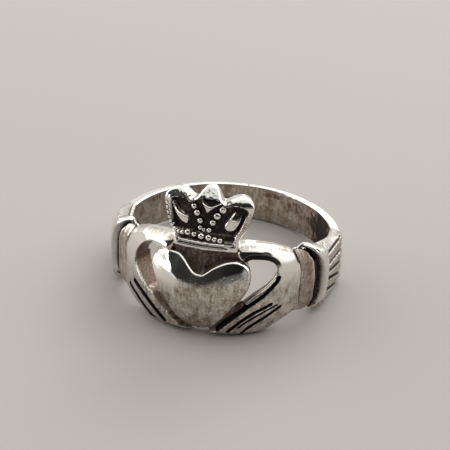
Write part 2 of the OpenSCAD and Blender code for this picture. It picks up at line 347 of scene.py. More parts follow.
# Lines between the fingers, from the palm to the tips: each is its half width and its points.
LINES_RIGHT = [
    [0.016, [[34.0, 0.200], [32.9, 0.160], [30.4, 0.110], [26.7, 0.045], [22.8, -0.012],
             [19.7, -0.059], [15.7, -0.137], [11.8, -0.230], [8.2, -0.328]]],
    [0.013, [[31.0, -0.058], [28.1, -0.082], [24.4, -0.112], [21.3, -0.150], [17.7, -0.217],
             [14.2, -0.304], [12.8, -0.345]]],
    [0.008, [[34.0, -0.082], [29.8, -0.108], [25.5, -0.150], [20.8, -0.215], [17.2, -0.290]]],
    [0.0125, [[35.9, -0.109], [32.0, -0.146], [27.8, -0.197], [23.9, -0.255], [20.7, -0.320],
             [19.0, -0.375]]]]
LINES_LEFT = [
    [0.018, [[-34.0, -0.062], [-29.2, -0.104], [-24.6, -0.162], [-20.9, -0.233],
             [-18.0, -0.297], [-16.6, -0.335]]],
    [0.016, [[-38.8, -0.145], [-32.3, -0.199], [-28.2, -0.273], [-24.6, -0.339],
             [-21.8, -0.380]]]]


def lobe_fall(a, z):
    """How far the left lobe falls back, by a square law in height, so that it faces up more."""
    return 0.3 * rise(-a, 12, 21) * np.clip(z, 0, 0.3) ** 2


def heart_radius(a, z):
    """Ball of radius HEART_BALL round a point on the middle line, seen from the axis, less
    lobe_fall."""
    y0 = HEART_REACH - HEART_BALL
    c, s = np.cos(np.radians(a)), np.sin(np.radians(a))
    left = np.clip(HEART_BALL ** 2 - (z - HEART_BALL_Z) ** 2 - (y0 * s) ** 2, 0, None)
    return y0 * c + np.sqrt(left) - lobe_fall(a, z)


def hand_radius(a, z):
    """The smaller of a ball of radius 1 and an upright drum of radius 0.93, both seen from the
    axis, with their middles set y0 and y1 towards the heart."""
    c, s = np.cos(np.radians(a)), np.sin(np.radians(a))
    y0, ball_z = HAND_REACH - 1, 0.05
    y1, drum_radius = 0.365, 0.93
    ball = y0 * c + np.sqrt(np.clip(1 - (z - ball_z) ** 2 - (y0 * s) ** 2, 0, None))
    drum = y1 * c + np.sqrt(drum_radius ** 2 - (y1 * s) ** 2)
    return soft_min(ball, drum, 0.02)


def heart_inside(a, z):
    """Distance in from the heart's outline."""
    return line_distance(HEART, a, z, HEART_DRUM, True)


def heart_shape(a, z):
    """heart_radius, less a roll that grows by a square law within ROLL_WIDE of the outline, in
    the upper half only, less an edge rounded by a quarter circle, dents, streaks and pits."""
    d = heart_inside(a, z)
    top = rise(z, 0.10, 0.30)
    roll = (0.75 - 0.022 * a) * rise(a, -17, -11)
    radius = heart_radius(a, z) - top * roll * np.clip(ROLL_WIDE - d, 0, None) ** 2 / 2
    # the crest along the top is sharp, most of all where the left lobe meets the arm
    joint = rise(-a, 11, 14) * rise(z, 0.33, 0.37)
    edge = np.where(z > 0.2, 0.012 + 0.03 * rise(a, 14, 20) - 0.008 * joint, 0.035)
    radius = radius - rounded(d, edge)
    dents = 0.0012 * grain(a, z * IN_DEG, 3.2, 3) + 0.0002 * grain(a, z * IN_DEG, 1.1, 4)
    streaks = grain(a, z * 12, 0.7, 5)
    # brown and dull low down: partly tarnish where nothing rubs it, partly painted shade for the
    # shaded floor that it mirrors
    low = rise(-z - 0.16 * rise(-a, 3, 13), -0.34, -0.14)
    pit = rise(-grain(a, z * IN_DEG, 0.8, 6), 0.55, 0.85) * low
    radius = radius - dents - 0.0005 * streaks * low ** 2 - 0.002 * pit
    film = np.clip(low * (1.04 + 0.3 * streaks), 0, 1.25)
    right = rise(a, -2, 2)
    return (radius, {"film": film, "haze": np.maximum(low, 0.7 * rise(-a, 14, 18)),
                     "oxide": 0.5 * pit},
            {"oxide": 0.55 * right, "stain": np.maximum(right, fade(z, 0.1, 0.2))})


# Field under the crown's foot, between the heart's lobes.
YOKE = curve_through([
    [-16.5, 0.36], [-8.0, 0.22], [0.0, 0.15], [8.0, 0.22], [16.0, 0.34], [15.0, 0.46],
    [13.5, 0.50], [6.0, 0.50], [-6.0, 0.50], [-13.5, 0.50], [-16.0, 0.46]], True)
YOKE_DRUM = 1.15


def yoke_inside(a, z):
    """Distance in from the field's outline."""
    return line_distance(YOKE, a, z, YOKE_DRUM, True)


def yoke_shape(a, z):
    """Drum of radius YOKE_DRUM with upright unevenness, brown and black."""
    lines = grain(a, z * 20, 1.1, 8)
    radius = YOKE_DRUM - 0.003 * lines
    return radius, {"oxide": 0.52 + 0.14 * lines, "stain": 1 + 0 * a, "haze": 0.5 + 0 * a}, {}


def hand_fields(side):
    """inside, shape, back and under functions for the right (1) or left (-1) hand. The front is
    hand_radius, less quarter-circle edges, less the lines between the fingers, less the channel
    and the gap beside the heart, less unevenness."""
    if side > 0:
        opening, lines, channel, wide = OPENING_RIGHT, LINES_RIGHT, CHANNEL_RIGHT, 1.1
    else:
        opening, lines, channel, wide = OPENING_LEFT, LINES_LEFT, CHANNEL_LEFT, 1.35
    lines = [(half, curve_through(line, False)) for half, line in lines]

    def from_edge(a, z):
        return line_distance(HAND, a * side, z, HAND_DRUM, True)

    def from_opening(a, z):
        return -line_distance(opening, a, z, HAND_DRUM, True)

    def inside(a, z):
        return np.minimum(from_edge(a, z), from_opening(a, z))

    def under(a, z):
        # down from the opening's lower edge by up to 0.06, fading out over 0.2; less on the left.
        # The way down is the slope of the distance, over a small step h
        hole = from_opening(a, z)
        k, h = math.radians(1) * HAND_DRUM, 0.004
        along = (from_opening(a + h / k, z) - hole) / h
        upward = (from_opening(a, z + h) - hole) / h
        far = (0.04 + 0.02 * side) * np.clip(1 - np.clip(hole, 0, None) / 0.2, 0, 1)
        far = far * rise(from_edge(a, z), 0, 0.05) * rise(-z, -0.33, -0.22)
        return far * along / k, far * upward

    def back(a, z):
        # the right one is hollowed towards the opening's lower edge
        if side < 0:
            return hole_wall(a, z)
        return hole_wall(a, z) + 0.08 * fade(from_opening(a, z), 0, 0.10) * rise(
            -z, -0.33, -0.22) * rise(z, -0.25, -0.10)

    def shape(a, z):
        outer, hole = from_edge(a, z), from_opening(a, z)
        heart = -line_distance(HEART, a, z, HAND_DRUM, True)
        out = np.abs(a)
        arm = rise(z, 0.24, 0.36)
        radius = hand_radius(a, z)
        # the palm's upper shoulder falls away towards the wrist
        radius = radius - 0.9 * np.clip(z - 0.15, 0, None) ** 2 * rise(out, 28, 46)
        # edges: the arm's top is round, and the rim of the opening is crisp
        radius = radius - rounded(outer, 0.055 - 0.035 * rise(out, 45.5, 47.5))
        crisp = 0.020 + 0.006 * side
        radius = radius - rounded(np.clip(hole, 0, None), crisp + (0.012 - crisp) * arm)
        # lines between the fingers, shallower where they are thin
        groove, black = np.zeros(len(a)), np.zeros(len(a))
        for half, line in lines:
            d = line_distance(line, a, z, LINE_DRUM)
            groove = np.maximum(groove, fade(d, 0.2 * half, 1.6 * half) * min(1, half / 0.015))
            black = np.maximum(black, fade(d, wide * half, (wide + 0.7) * half))
        radius = radius - LINE_DEEP * groove
        # the channel beside the heart, and the gap where arm and heart meet on the right
        sunk = rise(line_distance(channel, a, z, HAND_DRUM, True), -0.004, 0.018)
        gap = rise(0.035 - heart, 0, 0.04) * (1 - sunk)
        if side < 0:
            # on the left the arm runs smoothly into the heart's lobe
            gap = gap * fade(z, 0.22, 0.30)
            near = heart_radius(a, z) - 0.004 + 0.5 * heart + 1.5 * np.clip(heart, None, 0)
            near = near + np.minimum(lobe_fall(a, z), np.clip(heart, 0, None))
            radius = np.where(z > 0.25, soft_min(radius, near, 0.01), radius)
        radius = radius - CHANNEL_DEEP * sunk - GAP_DEEP * gap
        # unevenness: broad everywhere, fine with streaks and pits lower down
        radius = radius - 0.0016 * grain(a, z * IN_DEG, 3.6, 13 + side)
        fine = grain(a, z * IN_DEG, 0.9, 23 + side)
        streaks = grain(a, z * 14, 0.8, 27 + side)
        low = rise(-z, -0.26, 0.0 if side > 0 else 0.12)
        radius = radius - 0.0009 * fine * low - 0.0006 * streaks * low
        pit = rise(-fine, 0.35, 0.7) * low
        radius = radius - 0.0015 * pit
        # painted shade: black under the right arm, along the opening, in place of a dark reflection
        shade = 0.85 * arm * fade(hole, 0.02 + 0.02 * arm, 0.05 + 0.01 * arm) * rise(a, 16, 18)
        oxide = np.maximum.reduce([black * (1 - 0.8 * sunk), 0.55 * gap, 0.5 * pit, shade])
        dull_top = arm * fade(outer, 0.02, 0.05) * (0.75 + 0.5 * streaks)
        # the film low down is partly tarnish and partly painted shade, for the shaded floor that the
        # fingers mirror
        film = np.clip(np.maximum(low * (0.85 + 0.1 * side + 0.45 * streaks), dull_top), 0, 1)
        # painted shade: the opening's walls are dark brown and black, as they lie in shadow
        wall = np.where(hole < outer, 1.0, 0.0)
        return (radius, {"oxide": oxide, "film": film, "stain": (0.92 + 0.08 * side) * sunk,
                         "haze": np.maximum(0.8 * low, 0.6 * dull_top)},
                {"oxide": (0.42 + 0.03 * side) * wall, "film": 0.5 + 0 * a, "stain": wall})
    return inside, shape, back, under


# Crown: outline, from the middle point down the right side.
CROWN = curve_through([
    [1.0, 1.045], [3.0, 1.038], [4.6, 1.005], [5.8, 0.955], [7.0, 0.922], [8.2, 0.918],
    [10.0, 0.935], [12.4, 0.958], [15.2, 0.968], [18.0, 0.96], [20.2, 0.93], [21.1, 0.88],
    [20.6, 0.81], [19.5, 0.73], [17.8, 0.66], [16.0, 0.61], [15.2, 0.57], [15.2, 0.52],
    [15.0, 0.455], [15.0, 0.455], [-15.0, 0.455], [-15.0, 0.455], [-14.7, 0.52],
    [-14.9, 0.57], [-16.0, 0.61], [-17.6, 0.655], [-19.2, 0.72], [-20.4, 0.80],
    [-21.0, 0.87], [-20.2, 0.935], [-18.0, 0.972], [-14.8, 0.985], [-12.0, 0.975],
    [-9.6, 0.948], [-7.8, 0.925], [-6.2, 0.925], [-4.6, 0.955], [-3.0, 1.005],
    [-1.2, 1.038]], True)
FIELD = curve_through([
    [0.8, 0.938], [3.8, 0.934], [6.0, 0.915], [8.0, 0.878], [11.0, 0.893], [14.0, 0.890],
    [16.5, 0.877], [18.0, 0.853], [18.3, 0.825], [17.2, 0.79], [16.2, 0.73], [15.0, 0.67],
    [13.6, 0.627], [12.2, 0.612], [0.0, 0.615], [-8.0, 0.62], [-14.0, 0.614], [-15.3, 0.655],
    [-16.2, 0.72], [-17.0, 0.78], [-17.6, 0.84], [-17.2, 0.880], [-15.0, 0.900],
    [-12.0, 0.908], [-9.5, 0.900], [-7.4, 0.885], [-5.0, 0.912], [-2.5, 0.934]], True)
LEAVES = [curve_through(p, True) for p in (
    [[-3.8, 0.935], [-2.7, 0.885], [-1.2, 0.83], [0.0, 0.79], [0.0, 0.79], [1.8, 0.83],
     [4.4, 0.872], [7.0, 0.905], [6.0, 0.915], [4.6, 0.905], [1.4, 0.872], [-1.2, 0.888],
     [-2.8, 0.93]],
    [[-17.0, 0.86], [-16.2, 0.857], [-15.0, 0.818], [-13.8, 0.788], [-12.3, 0.766],
     [-10.4, 0.753], [-8.7, 0.75], [-8.2, 0.72], [-8.6, 0.672], [-10.2, 0.672],
     [-12.2, 0.69], [-14.2, 0.728], [-15.9, 0.775], [-16.8, 0.82]],
    [[12.4, 0.848], [13.2, 0.84], [12.3, 0.80], [11.5, 0.768], [12.8, 0.764], [14.5, 0.785],
     [15.3, 0.80], [15.7, 0.78], [15.2, 0.74], [14.2, 0.70], [13.0, 0.665], [11.4, 0.65],
     [9.6, 0.65], [8.3, 0.67], [7.8, 0.70], [8.4, 0.73], [9.7, 0.775], [10.9, 0.81],
     [11.8, 0.84]])]
# ridges on the side leaves: the bright edges that catch the light
LEAF_RIDGES = [curve_through(p, False) for p in (
    [[-16.5, 0.848], [-15.0, 0.805], [-13.6, 0.775], [-11.5, 0.757]],
    [[12.5, 0.84], [11.2, 0.79], [9.9, 0.75], [8.6, 0.71]])]
# beads: angle, height, radius
BEADS = [
    [-11.5, 0.925, 0.022], [-8.3, 0.903, 0.030], [-6.4, 0.848, 0.027], [-4.7, 0.790, 0.029],
    [-3.0, 0.722, 0.028], [-2.7, 0.655, 0.022], [-1.0, 0.640, 0.019], [1.3, 0.643, 0.025],
    [2.8, 0.718, 0.029], [4.6, 0.785, 0.034], [7.0, 0.848, 0.034], [9.9, 0.900, 0.024],
    [-12.0, 0.588, 0.023], [-10.5, 0.588, 0.023], [-8.0, 0.600, 0.029], [-5.1, 0.592, 0.024],
    [-1.8, 0.585, 0.028], [1.5, 0.580, 0.028], [4.1, 0.570, 0.024], [6.6, 0.563, 0.024],
    [-19.6, 0.828, 0.020], [-19.2, 0.785, 0.020], [-18.5, 0.742, 0.019],
    [-17.5, 0.700, 0.019], [-16.6, 0.668, 0.018], [-15.6, 0.640, 0.018]]

CROWN_DRUM, LEAF_DRUM = 1.13, 1.14
FIELD_DEEP, RIDGE_HIGH = 0.046, 0.012
LEAF_HIGH = (0.034, 0.032, 0.030)
# heights of the marks at the foot: thin line, groove, short bar and row of beads
LINE_Z, GROOVE_Z, BAR_Z, ROW_Z = 0.502, 0.547, 0.556, 0.585


def crown_inside(a, z):
    """Distance in from the crown's outline."""
    return line_distance(CROWN, a, z, CROWN_DRUM, True)


def crown_shape(a, z):
    """Leaning drum, less FIELD_DEEP in the field, with leaves raised from it, and beads as domes
    whose height falls as the root of 1 - t^3, t being the share of a bead's radius."""
    front = CROWN_REACH - (z - CROWN_FOOT) * CROWN_LEAN
    # the lobes lean further back, from just under the field's top edge
    lobe = z - 0.875 - 0.02 * fade(np.abs(a), 5, 8)
    front = front - 5 * np.clip(lobe, 0, 0.06) ** 2 - 0.6 * np.clip(lobe - 0.06, 0, 0.12)
    dark = rise(line_distance(FIELD, a, z, LEAF_DRUM, True), -0.006, 0.012)
    radius = front - FIELD_DEEP * dark
    for leaf, high in zip(LEAVES, LEAF_HIGH):
        up = rise(line_distance(leaf, a, z, LEAF_DRUM, True), -0.006, 0.014)
        radius = np.maximum(radius, front - FIELD_DEEP + high * up)
        dark = np.minimum(dark, 1 - up)
    for ridge in LEAF_RIDGES:
        up = fade(line_distance(ridge, a, z, LEAF_DRUM), 0.004, 0.016)
        radius = radius + RIDGE_HIGH * up
        dark = np.minimum(dark, 1 - up)
    # two lines at the foot, and a dark groove between them and the row of beads
    groove = fade(np.abs(z - GROOVE_Z), 0.003, 0.024) * fade(np.abs(a), 11.5, 13.0)
    thin = fade(np.abs(z - LINE_Z), 0.003, 0.014) * fade(a, 8.0, 10.5) * rise(a, -12.5, -11.0)
    plain = fade(np.abs(a), 12.5, 14.5)
    radius = radius - 0.026 * groove - 0.009 * thin + 0.006 * plain * fade(z, 0.50, 0.54)
    bar = fade(np.abs(z - BAR_Z), 0.008, 0.018) * rise(a, 8.0, 8.8) * fade(a, 12.0, 13.5)
    radius = radius + 0.026 * bar
    dark = np.maximum(dark, np.maximum(groove * (1 - bar), thin))
    row = fade(np.abs(z - ROW_Z), 0.026, 0.034) * fade(np.abs(a), 12.5, 13.5) * (1 - bar)
    radius = radius - 0.018 * row
    dark = np.maximum(dark, 0.9 * row)
    k = math.radians(1) * LEAF_DRUM
    for angle, high, size in BEADS:
        off = np.hypot((a - angle) * k, z - high)
        dome = 0.7 * size * np.sqrt(1 - np.clip(off / size, 0, 1) ** 3)
        # beads inside the field stand lower than those on the rims and at the foot
        base = front - (0.030 if high > 0.61 and abs(angle) < 14 else 0.012)
        radius = np.where(off < size, np.maximum(radius, base + dome), radius)
        halo = np.where(off < 1.35 * size, np.maximum(dark, 0.8), dark)
        dark = np.where(off < 0.9 * size, 0, halo)
    radius = radius - rounded(crown_inside(a, z), 0.030 - 0.006 * rise(z, 0.84, 0.90))
    radius = radius - 0.0012 * grain(a, z * IN_DEG, 0.9, 31)
    cloud = grain(a, z * IN_DEG, 2.4, 33) + 0.5 * grain(a, z * IN_DEG, 0.9, 34)
    dull_rim = rise(a, 13, 16) * rise(-z, -0.86, -0.78)
    # painted shade: the wall in the valley between the left and middle lobes is darker
    valley = rise(a, -15, -12) * rise(-a, 3, 6) * rise(z, 0.88, 0.92)
    return (radius, {"oxide": dark * (0.84 + 0.22 * cloud),
                     "film": np.maximum(0.5 * dark, 0.8 * dull_rim), "haze": 0.4 * dull_rim,
                     "stain": np.maximum(dark, 0.12 * dull_rim)},
            {"film": 0.4 + 0 * a, "oxide": 0.35 * valley, "stain": 0.5 * valley})


def profile_radius(profile, z):
    """A side profile's outer radius at each height, on a smooth curve through its points."""
    p = curve_through(profile, False)
    return np.interp(z, p[:, 1], p[:, 0])


# Cuff: the raised rim, whose upper end curls forward to a point, the worn step next to the palm,
# and the floor of the recess between them. RIM_TOP is the rim's profile: radius and height.
RIM_FRONT = [
    [48.0, 0.372], [49.4, 0.384], [51.5, 0.379], [54.5, 0.346], [56.8, 0.300], [58.6, 0.252],
    [60.0, 0.19], [60.8, 0.12], [61.1, 0.0], [61.0, -0.10], [60.6, -0.17], [59.6, -0.225],
    [58.6, -0.27]]
RIM_EDGE = curve_through(RIM_FRONT, False)
RIM_END = 66.4
RIM = curve_through(RIM_FRONT + [
    [59.2, -0.300], [61.5, -0.308], [RIM_END, -0.295], [RIM_END, -0.295], [RIM_END, 0.30],
    [RIM_END, 0.30], [63.5, 0.340], [60.5, 0.361], [58.0, 0.380], [55.0, 0.403],
    [52.5, 0.412], [50.3, 0.402], [48.6, 0.385]], True)
STEP = curve_through([
    [47.0, 0.25], [45.8, 0.32], [45.2, 0.372], [47.0, 0.384], [49.0, 0.374], [51.5, 0.36],
    [53.2, 0.332], [54.9, 0.288], [56.2, 0.246], [57.1, 0.19], [57.9, 0.10], [58.4, -0.04],
    [58.4, -0.15], [57.6, -0.205], [56.0, -0.245], [52.0, -0.258], [48.6, -0.25],
    [47.6, -0.2], [47.6, 0.0], [47.4, 0.15]], True)
RECESS = curve_through([
    [49.0, 0.34], [52.0, 0.355], [58.0, 0.345], [63.5, 0.33], [63.5, 0.33], [63.5, -0.27],
    [63.5, -0.27], [58.0, -0.245], [50.0, -0.235], [49.0, -0.235]], True)
RIM_TOP = [[1.08, -0.335], [1.09, -0.30], [1.14, -0.25], [1.175, -0.15], [1.188, 0.02],
           [1.182, 0.16], [1.160, 0.27], [1.13, 0.345], [1.10, 0.42]]
CUFF_DRUM = 1.12
FLOOR_TOP, STEP_TOP = 1.095, 1.137


def cuff_fields(side):
    """inside and shape functions for the right (1) or left (-1) cuff. The front is the recess's
    floor, with the step raised from it and the rim over both, by soft edges."""
    def distances(a, z):
        return [line_distance(line, a * side, z, CUFF_DRUM, True) for line in (RIM, STEP, RECESS)]

    def inside(a, z):
        return np.maximum.reduce(distances(a, z))

    def shape(a, z):
        b = a * side
        rim_d, step_d = distances(a, z)[:2]
        floor = FLOOR_TOP - 0.05 * rise(z, 0.18, 0.28) - 0.03 * rise(-z, 0.18, 0.24)
        long_grain = grain(b, z * 7, 1.15, 43 + side)
        # step: falls slightly towards the recess, and turns in at top and bottom
        step = STEP_TOP - 0.001 * (b - 48.3)
        step = step - 2.2 * np.clip(np.abs(z - 0.03) - 0.17, 0, None) ** 2
        step = step - 0.0045 * long_grain - rounded(np.clip(step_d, 0, None), 0.010)
        up = rise(step_d, -0.004, 0.008)
        radius = floor + np.clip(step - floor, 0, None) * up
        # rim: rises from the hole's edge at its point to RIM_TOP
        ramp = 1.02 + 0.172 * np.clip((b - 48) / 13.5, 0, 1)
        rim = soft_min(ramp, profile_radius(RIM_TOP, z), 0.01)
        # the curl is a bevel that faces up, from its lower edge to its top
        curl = fade(b, 54, 60)
        edge = line_distance(RIM_EDGE, b, z, CUFF_DRUM)
        rim = rim - 0.9 * curl * np.minimum(edge, 0.045)
        rim = rim - rounded(np.clip(rim_d, 0, None), 0.034 - 0.022 * curl)
        high = rise(rim_d, -0.016, 0.026)
        radius = radius * (1 - high) + np.maximum(rim, radius) * high
        radius = radius - 0.0014 * grain(b, z * IN_DEG, 1.4, 41 + side)
        # black in the recess, and on the rim only close to it
        oxide = fade(step_d, -0.003, 0.012) * fade(
            rim_d, 0.003 + 0.001 * side, 0.016 + 0.004 * side) * (
                0.75 + 0.25 * rise(step_d, -0.045, -0.02))
        oxide = oxide * np.where(rim_d > 0, fade(edge, 0.02, 0.035), 1)
        # a cleaner line along the step's outer lip
        lip = np.exp(-((step_d - 0.018) / 0.009) ** 2) * rise(b, 53, 55) * rise(z, -0.1, 0.05)
        streak = rise(-long_grain, 0.1, 0.7) * up * (1 - lip)
        radius = radius + 0.006 * lip * up
        brown = up * (1 - high)
        stain = brown * (0.34 + 0.08 * side + 0.35 * long_grain) * (1 - lip)
        rim_foot = fade(rim_d, 0.016, 0.040) * fade(b, 62.5, 63.5)
        return (radius, {"oxide": np.maximum(oxide, 0.52 * streak * brown),
                         "film": (0.25 + 0.75 * brown) * (1 - lip),
                         "stain": np.maximum(stain, 0.25 * rim_foot),
                         "haze": 0.2 + 0.6 * brown},
                {"film": 0.3 + 0.7 * brown, "stain": 0.5 * brown, "oxide": 0.5 * brown})
    return inside, shape


# Sleeve: a flat plate across the ring, so its face's distance from the axis follows PLATE over the
# cosine of the angle from PLATE_MIDDLE. Its broad top edge slopes in to the finger hole.
PLATE = [[1.00, -0.36], [1.06, -0.315], [1.105, -0.27], [1.111, -0.20], [1.112, -0.1],
         [1.108, 0.0], [1.10, 0.1], [1.083, 0.2], [1.07, 0.26], [1.06, 0.36]]
PLATE_MIDDLE, PLATE_START = 79.5, 62.5
SLEEVE_TOP = [[PLATE_START, 0.350], [PLATE_START, 0.350], [70.0, 0.322], [80.0, 0.278],
              [90.0, 0.236]]
SLEEVE_FOOT = [[95.5, 0.05], [95.5, -0.20], [94.0, -0.275], [90.0, -0.285], [80.0, -0.30],
               [70.0, -0.32], [PLATE_START, -0.32], [PLATE_START, -0.32]]
SLEEVE_RIGHT = SLEEVE_TOP + [[98.0, 0.208], [105.0, 0.192], [105.0, 0.192], [103.5, 0.175],
                             [97.0, 0.16], [95.6, 0.12]] + SLEEVE_FOOT
SLEEVE_LEFT = SLEEVE_TOP + [[95.0, 0.220], [96.2, 0.20], [95.8, 0.12]] + SLEEVE_FOOT
PLEATS = [curve_through(p, False) for p in (
    [[66.0, 0.193], [79.4, 0.201], [94.0, 0.208]],
    [[66.5, 0.078], [82.5, 0.086], [95.0, 0.081]],
    [[66.5, 0.020], [74.9, -0.002], [84.8, -0.026], [95.0, -0.050]],
    [[66.5, -0.042], [74.1, -0.080], [86.3, -0.141], [95.0, -0.183]],
    [[66.5, -0.145], [73.9, -0.194], [85.9, -0.245], [95.0, -0.268]])]
SLEEVE_DRUM, PLEAT_DRUM = 1.08, 1.12
PLEAT_DEEP, WALL_FLAT = 0.040, 0.035
BROW, TOP_LOWEST = 0.222, 0.185


def sleeve_fields(side):
    """inside, shape and back functions for the right (1) or left (-1) sleeve. The front is the
    plate's face up to the brow, and from there a straight slope in to the hole's wall."""
    corners = SLEEVE_RIGHT if side > 0 else SLEEVE_LEFT
    outline = curve_through(corners, True)
    end = max(a for a, z in corners)
    top_line = np.array([p for p in corners if p[1] > TOP_LOWEST][1:]).T

    def inside(a, z):
        return line_distance(outline, a * side, z, SLEEVE_DRUM, True)

    def back(a, z):
        # the hole's wall is a little flattened here, as a plate's is
        t = np.clip((a * side - PLATE_START) / (end - PLATE_START), 0, 1)
        return hole_wall(a, z) - WALL_FLAT * 4 * t * (1 - t)

    def shape(a, z):
        b = a * side
        top = np.interp(b, *top_line)
        brow = np.minimum(BROW, top - 0.012)
        lean = np.cos(np.radians(np.clip(b - PLATE_MIDDLE, -17, 17)))
        face = profile_radius(PLATE, np.minimum(z, brow)) / lean
        if side < 0:
            # fuller at the top, and rounded off at its end
            face = face + 0.04 * rise(z, 0.0, 0.2) * (1 - 1.8 * rise(b, 84, 96))
        else:
            face = face - 0.035 * rise(b, 89, 101)
        share = np.clip((z - brow) / (top - brow), 0, 1)
        slope_end = back(a, z) + 0.012
        radius = face + (slope_end - face) * share
        # the brow's edge is taken off
        radius = radius - 0.006 * fade(np.abs(z - brow), 0, 0.016)
        # pleats, and the joint with the cuff's rim
        cut = np.min([line_distance(line, b, z, PLEAT_DRUM) for line in PLEATS], 0)
        joint = (b - RIM_END) * math.radians(1) * PLEAT_DRUM
        cut = np.minimum(cut, np.abs(joint) + 0.006)
        low = rise(brow - z, -0.004, 0.008)
        black = fade(cut, 0.014, 0.026) * low
        radius = radius - PLEAT_DEEP * (fade(cut, 0.003, 0.028) * low)
        facet = rise(z - brow, 0.0, 0.01)
        pits = rise(-grain(b, z * IN_DEG, 0.8, 61 + side), 0.1, 0.5) * facet * (
            1 - 0.8 * rise(b, 80, 88))
        radius = radius - 0.004 * pits - 0.0012 * facet * grain(b, z * IN_DEG, 1.9, 63)
        radius = radius - 0.0015 * grain(b, z * IN_DEG, 1.3, 65)
        radius = radius - rounded(inside(a, z), 0.018)
        return (radius, {"oxide": np.maximum(black, 0.55 * pits), "film": 0.9 - 0.75 * facet,
                         "haze": 0.6 + 0.2 * facet, "stain": 0.25 * (1 - facet)},
                {"film": 0.3 + 0 * b, "haze": 0.6 + 0 * b})
    return inside, shape, back


# Places on the band's inside with a darker brown stain: angle, height, size in degrees and height.
STAINS = [[-104.5, 0.05, 4.5, 0.075], [-99.0, -0.06, 4.0, 0.10], [-118.0, 0.13, 9.0, 0.05],
          [148.0, 0.06, 9.0, 0.08], [133.0, 0.02, 12.0, 0.10], [120.0, -0.04, 14.0, 0.13],
          [165.0, 0.12, 8.0, 0.04], [-160.0, 0.00, 12.0, 0.06], [104.0, 0.04, 10.0, 0.14]]

# The band's ends, in degrees from the heart, hidden in the sleeves, its edges' rounding in mm, and
# the fine seam at its back, in degrees.
BAND_END, EDGE_MM, SEAM = 94.6, 0.15, 180.8


def band():
    """Closed hoop: a rounded rectangle carried round the back. Its inside is the finger hole's
    wall, its outside a circle set a little towards the heart, and both wander slightly."""
    start, stop, count = BAND_END, 360 - BAND_END, 520
    q = np.linspace(0, np.pi / 2, 6)
    flat_z = np.linspace(-1, 1, 41)[1:-1]
    flat_r = np.linspace(0, 1, 7)[1:-1]
    # one section: share of the thickness, and which way each corner's arc and flat side go
    section = []
    for turn, (out_side, up_side) in enumerate([(1, 1), (0, 1), (0, -1), (1, -1)]):
        w = q + turn * np.pi / 2
        section += [(out_side, np.cos(v), up_side, np.sin(v)) for v in w]
        section += [[(1 - f, 0, 1, 1) for f in flat_r], [(0, -1, -f, 0) for f in flat_z],
                    [(f, 0, -1, -1) for f in flat_r], [(1, 1, f, 0) for f in flat_z]][turn]
    share, corner_r, flat, corner_z = np.array(section).T
    m = len(section)
    a = np.linspace(start, stop, count)[:, None]
    rad = np.radians(a)
    # over the last 1.2 degrees at both ends, the inside draws back from the hole by 0.02 mm
    ends = np.clip(np.minimum(a - start, stop - a) / 1.2, 0, 1)
    out = BAND_SHIFT * np.cos(rad) + np.sqrt(
        (BACK_R + BAND_SHIFT) ** 2 - (BAND_SHIFT * np.sin(rad)) ** 2)
    low, high = HOLE + 0.02 * (1 - ends) + EDGE_MM, out - EDGE_MM
    radius = low + (high - low) * share + EDGE_MM * corner_r
    on_arc = np.abs(flat) == 1
    height = np.where(on_arc, np.sign(flat) * (HALF_BAND - EDGE_MM) + EDGE_MM * corner_z,
                      flat * (HALF_BAND - EDGE_MM)) + 0 * a
    a = a + 0 * height
    wander = grain(a / 6 + 40, height * 0.4, 1.0, 71) * 0.018 + grain(
        a / 1.7 + 90, height * 1.3, 1.0, 72) * 0.006
    inner = share < 0.5
    radius = radius + np.where(inner, 0.3, -1) * np.abs(wander)
    height = height * (1 - 0.006 * np.abs(grain(a / 9, a * 0 + 3, 1.0, 73)))
    xyz = resting(radius * np.sin(rad), -radius * np.cos(rad), height).reshape(-1, 3)
    i = (np.arange(count - 1)[:, None] * m + np.arange(m)).ravel()
    j = (np.arange(count - 1)[:, None] * m + (np.arange(m) + 1) % m).ravel()
    faces = np.stack([i, j, j + m, i + m], 1)[:, ::-1].tolist()
    faces += [list(range(m)), list(range((count - 1) * m, count * m))[::-1]]
    # the inside is brown and stained, darker to the right, with upright rubbing lines. Its brown
    # is partly tarnish and partly painted shade for the dark inside that it mirrors, and the
    # darkening to the right is painted shade
    bore = inner * rise(HALF_BAND - np.abs(height), 0.02, 0.16)
    turned = np.where(a > 180, a - 360, a)
    z = height / HOLE
    stain = 0.26 + 0.34 * rise(-np.abs(turned - 118), -30, -5) * (turned > 0)
    for angle, high_z, wide, tall in STAINS:
        off = np.hypot((turned - angle) / wide, (z - high_z) / tall)
        off = off + 0.5 * grain(a, z * IN_DEG, 2.2, 75)
        stain = np.maximum(stain, 0.85 * fade(off, 0.5, 1.15))
    # painted shade: darker and blacker round 112 degrees, through stain and black
    shade = rise(-np.abs(turned - 112), -30, -12)
    stain = stain + 0.3 * shade
    stain = stain + 0.22 * grain(a, z * 9, 1.0, 76) + 0.14 * grain(a, z * IN_DEG, 1.3, 77)
    seam = fade(np.abs(a - SEAM), 0.2, 0.55) * 0.8 * (1 - bore) * rise(
        height, HALF_BAND - 0.3, HALF_BAND - 0.1)
    black = bore * (0.45 * rise(stain, 0.55, 0.95) + 0.32 * shade)
    marks = {"oxide": np.maximum(seam, black), "film": 0.2 + 0.8 * bore,
             "stain": np.clip(stain, 0, 1) * bore, "haze": 0.25 + 0.6 * bore}
    return new_piece("band", xyz, faces, {key: np.ravel(v) for key, v in marks.items()})


def linear(code):
    """sRGB hex to linear red, green, blue and alpha 1."""
    v = [int(code[i:i + 2], 16) / 255 for i in (1, 3, 5)]
    return [x / 12.92 if x <= 0.04045 else ((x + 0.055) / 1.055) ** 2.4 for x in v] + [1.0]


def blank_nodes(owner):
    """The node tree of a material or a world, emptied."""
    owner.use_nodes = True
    owner.node_tree.nodes.clear()
    return owner.node_tree


